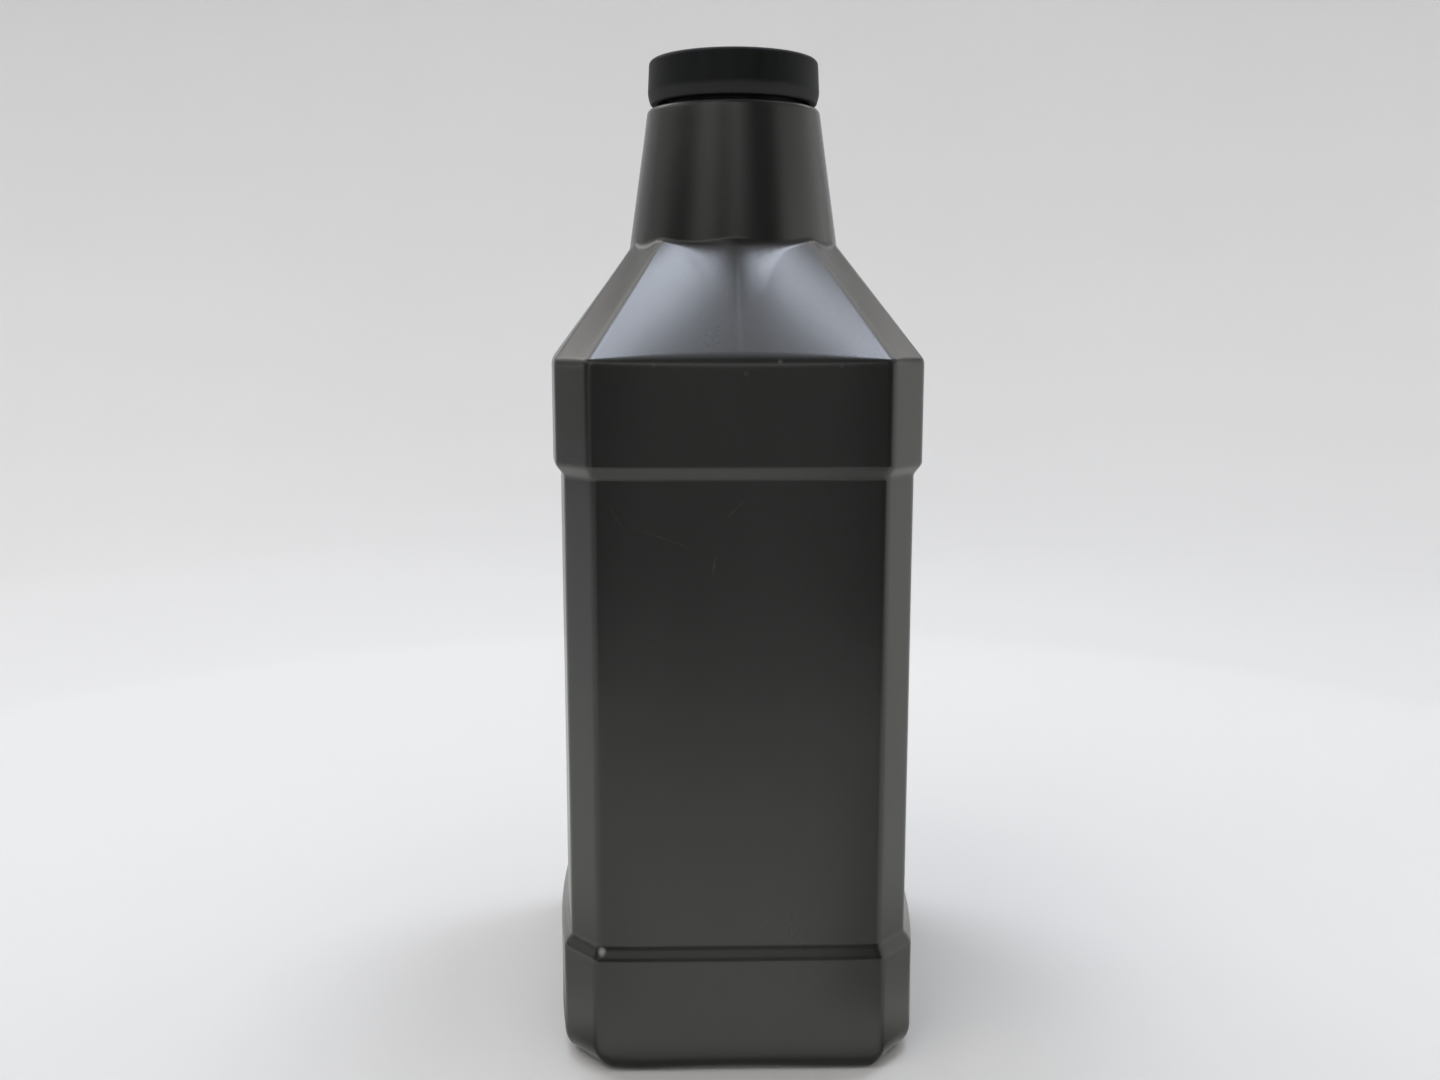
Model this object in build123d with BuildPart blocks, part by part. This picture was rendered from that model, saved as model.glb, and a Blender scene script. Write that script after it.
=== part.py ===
from build123d import *
import math
import os

# Screw-capped motor oil bottle: a hollow blow-moulded body, a low screw cap and the cap's liner.
# Millimetres, +Z up, with the origin at the centre of the base. The two narrow faces look along Y
# and the two bowed label faces look along X.

# Plan of the body
BODY_WIDTH = 72.0  # between the label faces, at their corners
BODY_DEPTH = 96.0  # between the narrow faces
CHAMFER_WIDTH = 7.25  # corner chamfer, along X
CHAMFER_DEPTH = 8.0  # corner chamfer, along Y
SIDE_BOW = 3.7  # how far the middle of a label face stands out past its corners
EDGE_RADIUS = 2.0  # upright edges
WALL = 1.0

# Heights of the body, from the base upwards
BASE_ROUND = 4.0  # rounded edge of the foot
BASE_BAND_HEIGHT = 24.4
STEP_HEIGHT = 2.0  # sloping step between a band and the label panel
PANEL_HEIGHT = 95.4
PANEL_INSET = 1.5
SHOULDER_BAND_HEIGHT = 20.4
SHOULDER_ROUND = 2.0  # rounded edge between the shoulder band and the shoulder
SHOULDER_HEIGHT = 24.3
NECK_HEIGHT = 28.2
STEM_HEIGHT = 7.9  # the mouth's threaded stem, inside the cap

# Underside
PUSH_UP_MARGIN = 9.0  # width of the ring that the bottle stands on
PUSH_UP_HEIGHT = 2.4
PUSH_UP_SLOPE = 3.0  # how far the recess draws in over its height
PUSH_UP_CORNER = 12.0

# Mouth and neck, from the bore outwards
MOUTH_DIAMETER = 26.6
STEM_WALL = 1.6
RIM_BEVEL = 0.4
NECK_LEDGE = 3.6  # ledge around the stem, at the top of the neck
NECK_ROUND = 1.2
NECK_FLARE = 4.05  # how far the neck widens down to its foot

# Shares of the neck's foot that the shoulder's slopes run up to, in degrees
FRONT_ARC = 44.0  # half of a narrow face's share
CHAMFER_ARC = 26.0
HIP_ARC = 4.0  # rounded hip between two slopes

# Cap and liner
THREAD_DEPTH = 1.2  # room for the stem's thread
THREAD_CLEARANCE = 0.35  # between the stem's thread and the cap's bore
CAP_WALL = 2.05  # at the lower edge
CAP_DRAFT = 0.35  # how far the skirt draws in up to the top
CAP_GAP = 0.9  # between the neck's ledge and the cap
CAP_TOP_THICKNESS = 1.35
CAP_TOP_BEVEL = 1.1
CAP_EDGE_BEVEL = 0.7
LINER_THICKNESS = 0.85
LINER_CLEARANCE = 0.3

# Number of flats that stand for a rounded edge of the body, outside and inside
OUTSIDE_STEPS = 3
INSIDE_STEPS = 1

# Levels
panel_bottom = BASE_BAND_HEIGHT + STEP_HEIGHT
panel_top = panel_bottom + PANEL_HEIGHT
shoulder_band_bottom = panel_top + STEP_HEIGHT
shoulder_edge = shoulder_band_bottom + SHOULDER_BAND_HEIGHT
neck_foot = shoulder_edge + SHOULDER_HEIGHT
neck_ledge = neck_foot + NECK_HEIGHT
mouth_rim = neck_ledge + STEM_HEIGHT
cap_bottom = neck_ledge + CAP_GAP
cap_ceiling = mouth_rim + LINER_THICKNESS
cap_top = cap_ceiling + CAP_TOP_THICKNESS

# Radii
mouth_radius = MOUTH_DIAMETER / 2
stem_radius = mouth_radius + STEM_WALL
neck_top_radius = stem_radius + NECK_LEDGE
neck_foot_radius = neck_top_radius + NECK_FLARE
cap_bore_radius = stem_radius + THREAD_DEPTH + THREAD_CLEARANCE
cap_base_radius = cap_bore_radius + CAP_WALL
cap_top_radius = cap_base_radius - CAP_DRAFT
liner_radius = cap_bore_radius - LINER_CLEARANCE

# The shoulder leans in by this angle, so its inside edge lies a little lower than the outside one
shoulder_lean = math.atan2(BODY_DEPTH / 2 - neck_foot_radius, SHOULDER_HEIGHT)
shoulder_drop = WALL * math.tan(shoulder_lean / 2)


def octagon(height, inset):
    """Draw the bottle's plan at a height: an octagon with bowed label sides, moved inwards by inset."""
    half_width = BODY_WIDTH / 2 - inset
    half_depth = BODY_DEPTH / 2 - inset
    chamfer_line = CHAMFER_DEPTH * BODY_WIDTH / 2 + CHAMFER_WIDTH * (BODY_DEPTH / 2 - CHAMFER_DEPTH)
    chamfer_line -= inset * math.hypot(CHAMFER_WIDTH, CHAMFER_DEPTH)
    flat = (chamfer_line - CHAMFER_WIDTH * half_depth) / CHAMFER_DEPTH
    side = (chamfer_line - CHAMFER_DEPTH * half_width) / CHAMFER_WIDTH
    with BuildSketch(Plane.XY.offset(height)) as plan:
        with BuildLine():
            Line((-flat, -half_depth), (flat, -half_depth))
            Line((flat, -half_depth), (half_width, -side))
            ThreePointArc((half_width, -side), (half_width + SIDE_BOW, 0), (half_width, side))
            Line((half_width, side), (flat, half_depth))
            Line((flat, half_depth), (-flat, half_depth))
            Line((-flat, half_depth), (-half_width, side))
            ThreePointArc((-half_width, side), (-half_width - SIDE_BOW, 0), (-half_width, -side))
            Line((-half_width, -side), (-flat, -half_depth))
        make_face()
        fillet(plan.vertices(), EDGE_RADIUS)
    return plan.sketch.face()


def divided_circle(height, radius):
    """Make a circle at a height, cut into the arcs that the octagon's sides and corners run up to."""
    side_arc = 180 - 2 * FRONT_ARC - 2 * CHAMFER_ARC
    level = Plane.XY.offset(height)
    arcs = []
    start = -90 - FRONT_ARC
    for share in 2 * [2 * FRONT_ARC, CHAMFER_ARC, side_arc, CHAMFER_ARC]:
        hip = start + share - HIP_ARC / 2
        arcs.append(Edge.make_circle(radius, level, start + HIP_ARC / 2, hip))
        arcs.append(Edge.make_circle(radius, level, hip, hip + HIP_ARC))
        start += share
    return Face(Wire(arcs))


def body_sections(offset, drop, steps):
    """Draw each cross-section from the foot to the neck's foot, offset inwards within the wall.

    The foot is rounded in a number of steps. The shoulder's part is lowered by drop, and starts with
    steps that turn from upright to the slope of the shoulder.
    """
    sections = []
    foot_radius = BASE_ROUND - offset
    for step in range(steps + 1):
        turn = math.radians(90 * step / steps)
        foot_inset = BASE_ROUND - foot_radius * math.sin(turn)
        sections.append(octagon(BASE_ROUND - foot_radius * math.cos(turn), foot_inset))
    sections.append(octagon(BASE_BAND_HEIGHT, offset))
    sections.append(octagon(panel_bottom, PANEL_INSET + offset))
    sections.append(octagon(panel_top, PANEL_INSET + offset))
    sections.append(octagon(shoulder_band_bottom, offset))
    turn_start = shoulder_edge - drop - SHOULDER_ROUND * math.tan(shoulder_lean / 2)
    for step in range(steps + 1):
        turn = shoulder_lean * step / steps
        shoulder_inset = offset + SHOULDER_ROUND * (1 - math.cos(turn))
        sections.append(octagon(turn_start + SHOULDER_ROUND * math.sin(turn), shoulder_inset))
    sections.append(divided_circle(neck_foot - drop, neck_foot_radius - offset))
    return sections


def push_up(height, inset):
    """Draw the base's recess at a height: a rounded rectangle, moved inwards by inset."""
    margin = PUSH_UP_MARGIN + inset
    with BuildSketch(Plane.XY.offset(height)) as plan:
        RectangleRounded(BODY_WIDTH - 2 * margin, BODY_DEPTH - 2 * margin, PUSH_UP_CORNER)
    return plan.sketch.face()


# Bottle body
with BuildPart() as bottle_body:
    # Outside of the body, from the foot to the neck's foot
    loft(sections=body_sections(0, 0, OUTSIDE_STEPS), ruled=True)

    # Outside of the neck and the stem
    with BuildSketch(Plane.XZ) as neck:
        with BuildLine():
            Polyline(
                (0, neck_foot),
                (neck_foot_radius, neck_foot),
                (neck_top_radius, neck_ledge),
                (stem_radius, neck_ledge),
                (stem_radius, mouth_rim),
                (0, mouth_rim),
                close=True,
            )
        make_face()
        ledge_corners = neck.vertices().filter_by_position(Axis.Y, neck_ledge, neck_ledge)
        fillet(ledge_corners.sort_by(Axis.X)[-1], NECK_ROUND)
    revolve(axis=Axis.Z)

    # Hollow of the body
    hollow = body_sections(WALL, shoulder_drop, INSIDE_STEPS)
    loft(sections=hollow, ruled=True, mode=Mode.SUBTRACT)

    # Hollow of the neck and the mouth
    with BuildSketch(Plane.XZ):
        with BuildLine():
            Polyline(
                (0, neck_foot - shoulder_drop),
                (neck_foot_radius - WALL, neck_foot - shoulder_drop),
                (neck_top_radius - WALL, neck_ledge - NECK_ROUND - WALL),
                (mouth_radius, neck_ledge - WALL),
                (mouth_radius, mouth_rim),
                (0, mouth_rim),
                close=True,
            )
        make_face()
    revolve(axis=Axis.Z, mode=Mode.SUBTRACT)

    # Push-up of the base, with the same wall as the rest
    raised_floor = [push_up(WALL / 2, -WALL), push_up(PUSH_UP_HEIGHT + WALL, PUSH_UP_SLOPE - WALL)]
    loft(sections=raised_floor, ruled=True)
    recess = [push_up(0, 0), push_up(PUSH_UP_HEIGHT, PUSH_UP_SLOPE)]
    loft(sections=recess, ruled=True, mode=Mode.SUBTRACT)

    # Bevelled rim of the mouth
    chamfer(bottle_body.edges().group_by(Axis.Z)[-1], RIM_BEVEL)


# Screw cap
with BuildPart() as screw_cap:
    with BuildSketch(Plane.XZ):
        with BuildLine():
            Polyline(
                (0, cap_ceiling),
                (cap_bore_radius, cap_ceiling),
                (cap_bore_radius, cap_bottom),
                (cap_base_radius, cap_bottom),
                (cap_top_radius, cap_top),
                (0, cap_top),
                close=True,
            )
        make_face()
    revolve(axis=Axis.Z)
    rings = screw_cap.edges().filter_by(GeomType.CIRCLE).group_by(Axis.Z)
    chamfer(rings[-1], CAP_TOP_BEVEL)
    chamfer(rings[0].sort_by(SortBy.RADIUS)[-1], CAP_EDGE_BEVEL)


# Liner, a wad between the cap's ceiling and the mouth's rim
with BuildPart() as cap_liner:
    with BuildSketch(Plane.XY.offset(mouth_rim)):
        Circle(liner_radius)
    extrude(amount=LINER_THICKNESS)


os.makedirs("parts", exist_ok=True)
bottle_body.part.label = "bottle_body"
screw_cap.part.label = "screw_cap"
cap_liner.part.label = "cap_liner"
export_step(bottle_body.part, "parts/bottle_body.step")
export_step(screw_cap.part, "parts/screw_cap.step")
export_step(cap_liner.part, "parts/cap_liner.step")
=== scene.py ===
"""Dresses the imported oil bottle: its shell, threads, screw cap and liner, on a plain stage."""

import bpy
import numpy as np
from bpy.props import FloatProperty, FloatVectorProperty, PointerProperty
from mathutils import Matrix, Vector


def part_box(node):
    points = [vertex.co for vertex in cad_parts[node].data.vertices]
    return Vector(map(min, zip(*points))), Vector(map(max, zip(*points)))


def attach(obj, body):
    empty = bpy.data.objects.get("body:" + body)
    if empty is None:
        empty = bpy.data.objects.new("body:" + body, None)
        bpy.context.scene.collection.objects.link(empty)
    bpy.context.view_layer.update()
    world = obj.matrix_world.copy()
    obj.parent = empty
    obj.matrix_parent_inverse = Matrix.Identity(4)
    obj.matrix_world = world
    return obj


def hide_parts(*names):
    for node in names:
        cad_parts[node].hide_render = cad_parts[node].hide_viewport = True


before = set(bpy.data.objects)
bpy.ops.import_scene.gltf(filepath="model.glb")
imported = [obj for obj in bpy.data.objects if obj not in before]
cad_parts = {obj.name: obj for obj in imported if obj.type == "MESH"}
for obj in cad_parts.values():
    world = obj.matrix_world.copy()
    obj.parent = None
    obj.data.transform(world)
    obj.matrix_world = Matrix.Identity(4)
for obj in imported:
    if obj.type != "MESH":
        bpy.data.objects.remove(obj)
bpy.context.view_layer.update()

bl_info = {
    "name": "Oil Bottle",
    "version": (1, 0, 0),
    "blender": (4, 5, 0),
    "location": "3D View > Sidebar > Oil Bottle",
    "description": "Builds a chamfered oil bottle with a screw cap on its packed frame",
    "category": "Object",
}

MM = 0.001
BODY_LOW, BODY_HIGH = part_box("bottle_body")
CAP_LOW, CAP_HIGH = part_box("screw_cap")
LINER_LOW, LINER_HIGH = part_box("cap_liner")


# Sizes and colours that a user would change

def length(name, millimetres, description):
    """A length property that is written in millimetres and held in metres."""
    metres = millimetres * MM
    return FloatProperty(
        name=name, description=description, default=metres, unit="LENGTH", precision=5
    )


def colour(name, rgb, description):
    """A linear colour property."""
    return FloatVectorProperty(
        name=name, description=description, default=rgb, subtype="COLOR", min=0, max=1
    )


def share(name, default, description):
    """A property from 0 to 1."""
    return FloatProperty(
        name=name, description=description, default=default, subtype="FACTOR", min=0, max=1
    )


class BottleShape(bpy.types.PropertyGroup):
    """Sizes of the bottle, which are its solid's apart from some softer edges and sides."""

    body_width: length("Body width", 72, "Between the label faces, at their corners")
    body_depth: length("Body depth", (BODY_HIGH.y - BODY_LOW.y) / MM, "Between the narrow faces")
    chamfer_width: length("Chamfer width", 7.25, "Corner chamfer along X")
    chamfer_depth: length("Chamfer depth", 8, "Corner chamfer along Y")
    side_bow: length("Side bow", 3.1, "How far a label face stands out past its corners")
    edge_radius: length("Edge radius", 2.8, "Radius of the upright edges")
    wall: length("Wall", 1, "Thickness of the body's wall")
    foot_round: length("Foot rounding", 3.2, "Rounded edge of the foot under a narrow face")
    foot_lift: length("Foot lift", 2.6, "How much more the foot is rounded under other faces")
    base_band: length("Base band", 24.4, "Height of the band above the foot")
    step: length("Step", 2, "Height of the slope between a band and the panel")
    panel: length("Panel", 95.4, "Height of the label panel")
    panel_inset: length("Panel inset", 1.5, "How far the panel lies behind the bands")
    shoulder_band: length("Shoulder band", 20.4, "Height of the band under the shoulder")
    shoulder: length("Shoulder", 24.3, "Height of the sloping shoulder")
    neck: length("Neck", 28.2, "Height of the conical neck")
    neck_foot_radius: length("Neck foot radius", 22.55, "Radius at the foot of the neck")
    neck_top_radius: length("Neck top radius", 18.5, "Radius at the ledge under the cap")
    stem_radius: length("Stem radius", 14.9, "Radius of the threaded stem")
    mouth_radius: length("Mouth radius", 13.3, "Radius of the bore")
    recess_margin: length("Recess margin", 9, "Width of the ring that the bottle stands on")
    recess_height: length("Recess height", 2.4, "Height of the push-up in the base")
    recess_slope: length("Recess slope", 3, "How far the push-up draws in over its height")
    recess_corner: length("Recess corner", 12, "Corner radius of the push-up")
    thread_pitch: length("Thread pitch", 4.23, "Rise of the screw thread in one turn")
    mould_line: length("Mould line", 0.012, "Height of the parting line on the narrow faces")
    crown: length("Crown", 0.35, "How far a narrow face falls away towards its upright edges")


class CapShape(bpy.types.PropertyGroup):
    """Sizes of the screw cap, with the radii of its solid."""

    base_radius: length("Base radius", 18.5, "Radius at the lower edge")
    top_radius: length("Top radius", 18.15, "Radius at the top")
    bore_radius: length("Bore radius", 16.45, "Radius inside the skirt")
    top_thickness: length("Top thickness", 1.35, "Thickness of the cap's top")
    top_round: length("Top rounding", 1.0, "Rounded edge of the top")
    hem: length("Hem", 2.0, "Height of the drawn-in lower edge")
    hem_inset: length("Hem inset", 0.6, "How far the lower edge draws in")


class Finish(bpy.types.PropertyGroup):
    """Colours and gloss of the plastics and the foam."""

    bottle_colour: colour("Bottle colour", (0.0076, 0.0080, 0.0074), "Black polyethylene")
    bottle_bloom: colour("Bottle bloom", (0.0116, 0.0121, 0.0113), "Paler cast of the body")
    scuff_colour: colour("Scuff colour", (0.36, 0.37, 0.34), "Rubbed and scratched plastic")
    bottle_roughness: share("Bottle roughness", 0.26, "Roughness of the moulded surface")
    cap_colour: colour("Cap colour", (0.0058, 0.0063, 0.0070), "Blue-black polypropylene")
    cap_bloom: colour("Cap bloom", (0.0085, 0.0092, 0.0102), "Paler cast of the cap")
    # Paler colour of the matt hem: a painted highlight of the light its bevel catches
    hem_highlight_colour: colour("Hem colour", (0.0250, 0.0260, 0.0257), "Matt lower edge of the cap")
    cap_roughness: share("Cap roughness", 0.48, "Roughness of the cap")
    liner_colour: colour("Liner colour", (0.80, 0.80, 0.77), "Foam of the liner")
    liner_shade: colour("Liner shade", (0.66, 0.66, 0.63), "Shaded cells of the foam")


class Stage(bpy.types.PropertyGroup):
    """Floor, light and camera."""

    floor_colour: colour("Floor colour", (0.83, 0.825, 0.815), "Pale sweep round the bottle")
    softbox_colour: colour("Softbox colour", (0.79, 0.86, 1.0), "Cool overhead light")
    softbox_level: FloatProperty(
        name="Softbox level", description="Brightness of the overhead softboxes", default=7.6
    )
    fill_power: FloatProperty(
        name="Fill power", description="Front light on the floor", default=2.0, unit="POWER"
    )
    sky: share("Sky", 0.56, "Level of the light from all around")
    lens: FloatProperty(name="Lens", description="Focal length in millimetres", default=34.72)


# Surfaces

def evenly(count):
    """Shares from 0 to 1, closer together near both ends: half of 1 - cos of an even angle."""
    return 0.5 - 0.5 * np.cos(np.linspace(0, np.pi, count))


def between(count):
    """Even shares strictly between 0 and 1."""
    return np.arange(1, count + 1) / (count + 1)


# Kinds of the plan's eight sides, anticlockwise from the narrow front
NARROW, CHAMFER, LABEL = range(3)
KINDS = 2 * [NARROW, CHAMFER, LABEL, CHAMFER]

# Points along the sides, as shares of their length, and along the rounded corner after each. A
# narrow side has closer points over its mould line.
CORNER_POINTS = between(5)
MOULD_LINE_POINTS = 0.5 + 0.001 * np.array(
    [-12, -8, -5.5, -4, -2.8, -1.4, 0, 1.4, 2.8, 4, 5.5, 8, 12]
)
SIDE_POINTS = (np.union1d(evenly(24), MOULD_LINE_POINTS), evenly(9), evenly(28))
SIDES = [SIDE_POINTS[kind] for kind in KINDS]

# Place of each plan point across its side, from -1 to 1, and the kind of that side. A corner's
# points count as the end of the side before them.
ACROSS = np.concatenate(
    [np.append(2 * shares - 1, np.ones(len(CORNER_POINTS))) for shares in SIDES]
)
KIND = np.repeat(KINDS, [len(shares) + len(CORNER_POINTS) for shares in SIDES])
MIDDLE = 1 - ACROSS**2  # 1 in the middle of a side and 0 at its corners

# Where the plan's corners meet the round neck, in degrees from the X axis, and their spread
HIPS = np.array([-134, -46, -20, 20, 46, 134, 160, 200, 226])
HIP_ARC = 4

CROWN_SHARE = 0.35  # share of half a narrow side over which it falls away
MOULD_LINE_SHARE = 0.014  # half the mould line's width as a share of half a narrow side

# Foot of the neck: how far it sags at a hip and more in the middle of a narrow, chamfer and label
# side, and the half width of its tongue as a share of half a narrow side
HIP_SAG = 0.2 * MM
SIDE_SAGS = np.array([1.8, 1.0, 2.0]) * MM
TONGUE_SHARE = 0.36
# Its rounding down the slope and up the neck: at a hip, more between hips, and along the tongue
DOWN_SLOPE = np.array([[0.9], [1.0], [20.0]]) * MM
UP_NECK = np.array([[0.8], [0.5], [1.4]]) * MM

# Rounding of the shoulder's edge at a corner, and how much more it is in the middle of a side:
# down the band, and up the slope of a narrow, chamfer and label side
SHOULDER_CORNER = 0.9 * MM
DOWN_BAND = 0.5 * MM
UP_SLOPE = np.array([1.8, 0.5, 1.0]) * MM

# Other roundings of the shell
RECESS_TOP_ROUND = 0.9 * MM
RECESS_FOOT_ROUND = 0.8 * MM
BASE_STEP_ROUND = 0.7 * MM
SHOULDER_STEP_ROUND = 0.6 * MM
LEDGE_ROUND = 1.2 * MM
STEM_FOOT_ROUND = 0.5 * MM
RIM_ROUND = 0.35 * MM
NECK_INSIDE_ROUND = 0.8 * MM
SHOULDER_INSIDE_ROUND = 1.0 * MM
STEP_INSIDE_ROUND = 0.7 * MM
FLOOR_INSIDE_ROUND = 0.5 * MM
BEND_STEPS = 7  # rows of a rounding
FOOT_BLEND = 5  # plan points to each side over which the foot's rounding is averaged
CENTRE_SHARE = 0.04  # size of the base's innermost loop, as a share of the push-up

# Slow waves of the moulded wall, two sines with their strides in millimetres per radian, and the
# heights in millimetres over which the relief fades in and out
WAVE_DEPTH = 0.03 * MM
WAVE_X, WAVE_XZ = 9, 31
WAVE_Y, WAVE_YZ, WAVE_LAG = 12, 17, 0.8
FOOT_FADE = (4, 10)
WAVE_FADE = (190, 195)
MOULD_LINE_FADE = (188, 195)

# Thread of the stem and the cap
THREAD_START = BODY_HIGH.z - 6.0 * MM
THREAD_ROWS, THREAD_POINTS = 161, 20
THREAD_TIP = 0.02  # size of the thread's ends
THREAD_TAPER = 0.09  # share of its length over which it shrinks to them

# Pinched seam under the base
PINCH_ROWS, PINCH_POINTS = 61, 16
PINCH_HALF_WIDTH = 0.7 * MM
PINCH_HEIGHT = 0.45 * MM
PINCH_MARGIN = 4 * MM  # from its ends to the push-up's edge
PINCH_TIP = 0.03  # size of its ends
PINCH_RIPPLE, RIPPLE_RATE = 0.12, 23

# Cap and liner
RING_POINTS = 192
POLE_RADIUS = 0.5 * MM  # innermost ring of a round face
CAP_DISH = 0.1 * MM  # how far the middle of the cap's top lies under its edge
CEILING_ROUND = 0.5 * MM
SKIRT_INSIDE_ROUND = 0.3 * MM
SKIRT_OUTSIDE_ROUND = 0.35 * MM
HEM_ROUND = 0.9 * MM
LINER_ROUND = 0.25 * MM


def direction(heading):
    """Unit vector in the plan along a heading."""
    return np.stack([np.cos(heading), np.sin(heading)], axis=-1)


def turning(start, heading, turn, radius, shares):
    """Points of an arc that leaves start along heading and turns left, at shares of the turn.

    From the centre, one radius to the left of the start, a point lies at sin(angle) along the
    heading minus cos(angle) along the left.
    """
    ahead = direction(heading)
    left = direction(heading + np.pi / 2)
    angle = (turn * shares)[:, None]
    return start + radius * (left + np.sin(angle) * ahead - np.cos(angle) * left)


def at_height(plan, height):
    """Plan points lifted to a height, or each to its own."""
    return np.column_stack([plan, np.broadcast_to(height, len(plan))])


def octagon(shape, height, inset):
    """Outline of the body at a height, moved inwards by inset.

    Eight corners are joined by straight chamfers, by label sides that are shallow arcs, and by
    narrow sides that are flat in the middle and fall away to their corners. A label side's distance
    from its chord is sqrt(R^2 - s^2) less its value at the ends, and a narrow side's is
    crown * (1 - t^2), with t from 0 where the fall begins to 1 at the corner. Each corner is cut
    back by the edge radius times tan(turn / 2) and filled by an arc.
    """
    half_width = shape.body_width / 2 - inset
    corner_depth = shape.body_depth / 2 - inset - shape.crown
    width, depth = shape.chamfer_width, shape.chamfer_depth
    line = depth * shape.body_width / 2 + width * (shape.body_depth / 2 - depth)
    line -= inset * np.hypot(width, depth)
    flat = (line - width * corner_depth) / depth
    side = (line - depth * half_width) / width
    front = [(-flat, -corner_depth), (flat, -corner_depth), (half_width, -side), (half_width, side)]
    corners = np.concatenate([front, np.negative(front)])
    chords = np.roll(corners, -1, axis=0) - corners
    headings = np.arctan2(chords[:, 1], chords[:, 0])
    fall = np.arctan(2 * shape.crown / (CROWN_SHARE * flat))
    bow = 2 * np.arctan(shape.side_bow / side)
    arc_radius = side / np.sin(bow)
    tilts = np.array([fall, 0, bow])[KINDS]
    leaving, arriving = headings - tilts, headings + tilts
    turns = (np.roll(leaving, -1) - arriving) % (2 * np.pi)
    cuts = shape.edge_radius * np.tan(turns / 2)
    starts = corners + np.roll(cuts, 1)[:, None] * direction(leaving)
    ends = np.roll(corners, -1, axis=0) - cuts[:, None] * direction(arriving)
    plan = []
    for number, (kind, shares) in enumerate(zip(KINDS, SIDES)):
        start, end = starts[number], ends[number]
        half_chord = np.linalg.norm(end - start) / 2
        along = 2 * shares - 1
        rise = np.zeros(len(shares))
        if kind == NARROW:
            crown = shape.crown - cuts[number] * np.sin(fall)
            rise = crown * (1 - np.clip((np.abs(along) - 1) / CROWN_SHARE + 1, 0, 1) ** 2)
        elif kind == LABEL:
            rise = np.sqrt(arc_radius**2 - (half_chord * along) ** 2)
            rise -= np.sqrt(arc_radius**2 - half_chord**2)
        out = direction(headings[number] - np.pi / 2)
        plan.append(start + shares[:, None] * (end - start) + rise[:, None] * out)
        plan.append(turning(end, arriving[number], turns[number], shape.edge_radius, CORNER_POINTS))
    return at_height(np.concatenate(plan), height)


def neck_ring(height, radius):
    """Circle with a point for each point of the octagon: each side has an arc between two hips.

    The height and the radius may differ from point to point.
    """
    half_hip = HIP_ARC / 2
    angles = []
    for shares, first, last in zip(SIDES, HIPS, HIPS[1:]):
        angles.append(first + half_hip + shares * (last - first - HIP_ARC))
        angles.append(last - half_hip + CORNER_POINTS * HIP_ARC)
    around = direction(np.radians(np.concatenate(angles)))
    return at_height(np.reshape(radius, (-1, 1)) * around, height)


def neck_foot(shape, height):
    """Foot of the neck, where each slope ends in a shallow scallop on the cone, and its rounding.

    With a the place across the side, the scallop's depth under a hip is its sag times 1 - a^2. The
    slopes run into the neck tightly at the hips, a little more softly between them, and in a long
    tongue along the mould line, whose length falls off as exp(-(a / share)^2).
    """
    lift = -(HIP_SAG + MIDDLE * SIDE_SAGS[KIND])
    taper = (shape.neck_foot_radius - shape.neck_top_radius) / shape.neck
    loop = neck_ring(height + lift, shape.neck_foot_radius - taper * lift)
    tongue = np.exp(-((ACROSS / TONGUE_SHARE) ** 2)) * (KIND == NARROW)
    parts = np.column_stack([np.ones(len(KIND)), MIDDLE * (KIND != NARROW), tongue])
    return loop, (parts @ DOWN_SLOPE, parts @ UP_NECK)


def shoulder_ease():
    """Rounding of the shoulder's edge, down the band and up the slope: softest in mid-side."""
    down = SHOULDER_CORNER + DOWN_BAND * MIDDLE
    up = SHOULDER_CORNER + UP_SLOPE[KIND] * MIDDLE
    return down[:, None], up[:, None]


def foot_ease(shape):
    """Rounding of the foot's edge: a narrow side's own and a larger one, averaged over corners."""
    ease = shape.foot_round + shape.foot_lift * (KIND != NARROW)
    shifts = range(-FOOT_BLEND, FOOT_BLEND + 1)
    return np.mean([np.roll(ease, shift) for shift in shifts], axis=0)[:, None]


def recess(shape, height, inset):
    """Rounded rectangle of the base's push-up, with a point for each point of the octagon.

    Each rounded corner takes the points of a chamfer and of the two edges beside it.
    """
    corner = shape.recess_corner
    half = np.array([shape.body_width, shape.body_depth]) / 2 - shape.recess_margin - inset
    corner_shares = between(len(SIDE_POINTS[CHAMFER]) + 2 * len(CORNER_POINTS))
    start = np.array([corner - half[0], -half[1]])
    plan = []
    for quarter, shares in enumerate(SIDES[::2]):
        heading = quarter * np.pi / 2
        run = 2 * (half[quarter % 2] - corner) * direction(heading)
        plan.append(start + shares[:, None] * run)
        plan.append(turning(start + run, heading, np.pi / 2, corner, corner_shares))
        start = turning(start + run, heading, np.pi / 2, corner, np.ones(1))[0]
    return at_height(np.concatenate(plan), height)


def ring(radius, height):
    """Even circle at a height."""
    angles = np.linspace(0, 2 * np.pi, RING_POINTS, endpoint=False)
    return at_height(radius * direction(angles), height)


def unit(vectors):
    """Vectors of length one."""
    return vectors / np.linalg.norm(vectors, axis=-1, keepdims=True)


def bend(start, corner, end):
    """Rows of a rounded corner: a quadratic curve weighted by the cosine of half the turn.

    With equal arms that is an arc of a circle.
    """
    cosine = -np.sum(unit(start - corner) * unit(end - corner), axis=-1, keepdims=True)
    weight = np.sqrt((1 + np.clip(cosine, -1, 1)) / 2)
    t = np.linspace(0, 1, BEND_STEPS + 1)[:, None, None]
    middle = 2 * weight * t * (1 - t)
    return ((1 - t) ** 2 * start + middle * corner + t**2 * end) / ((1 - t) ** 2 + middle + t**2)


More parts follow.
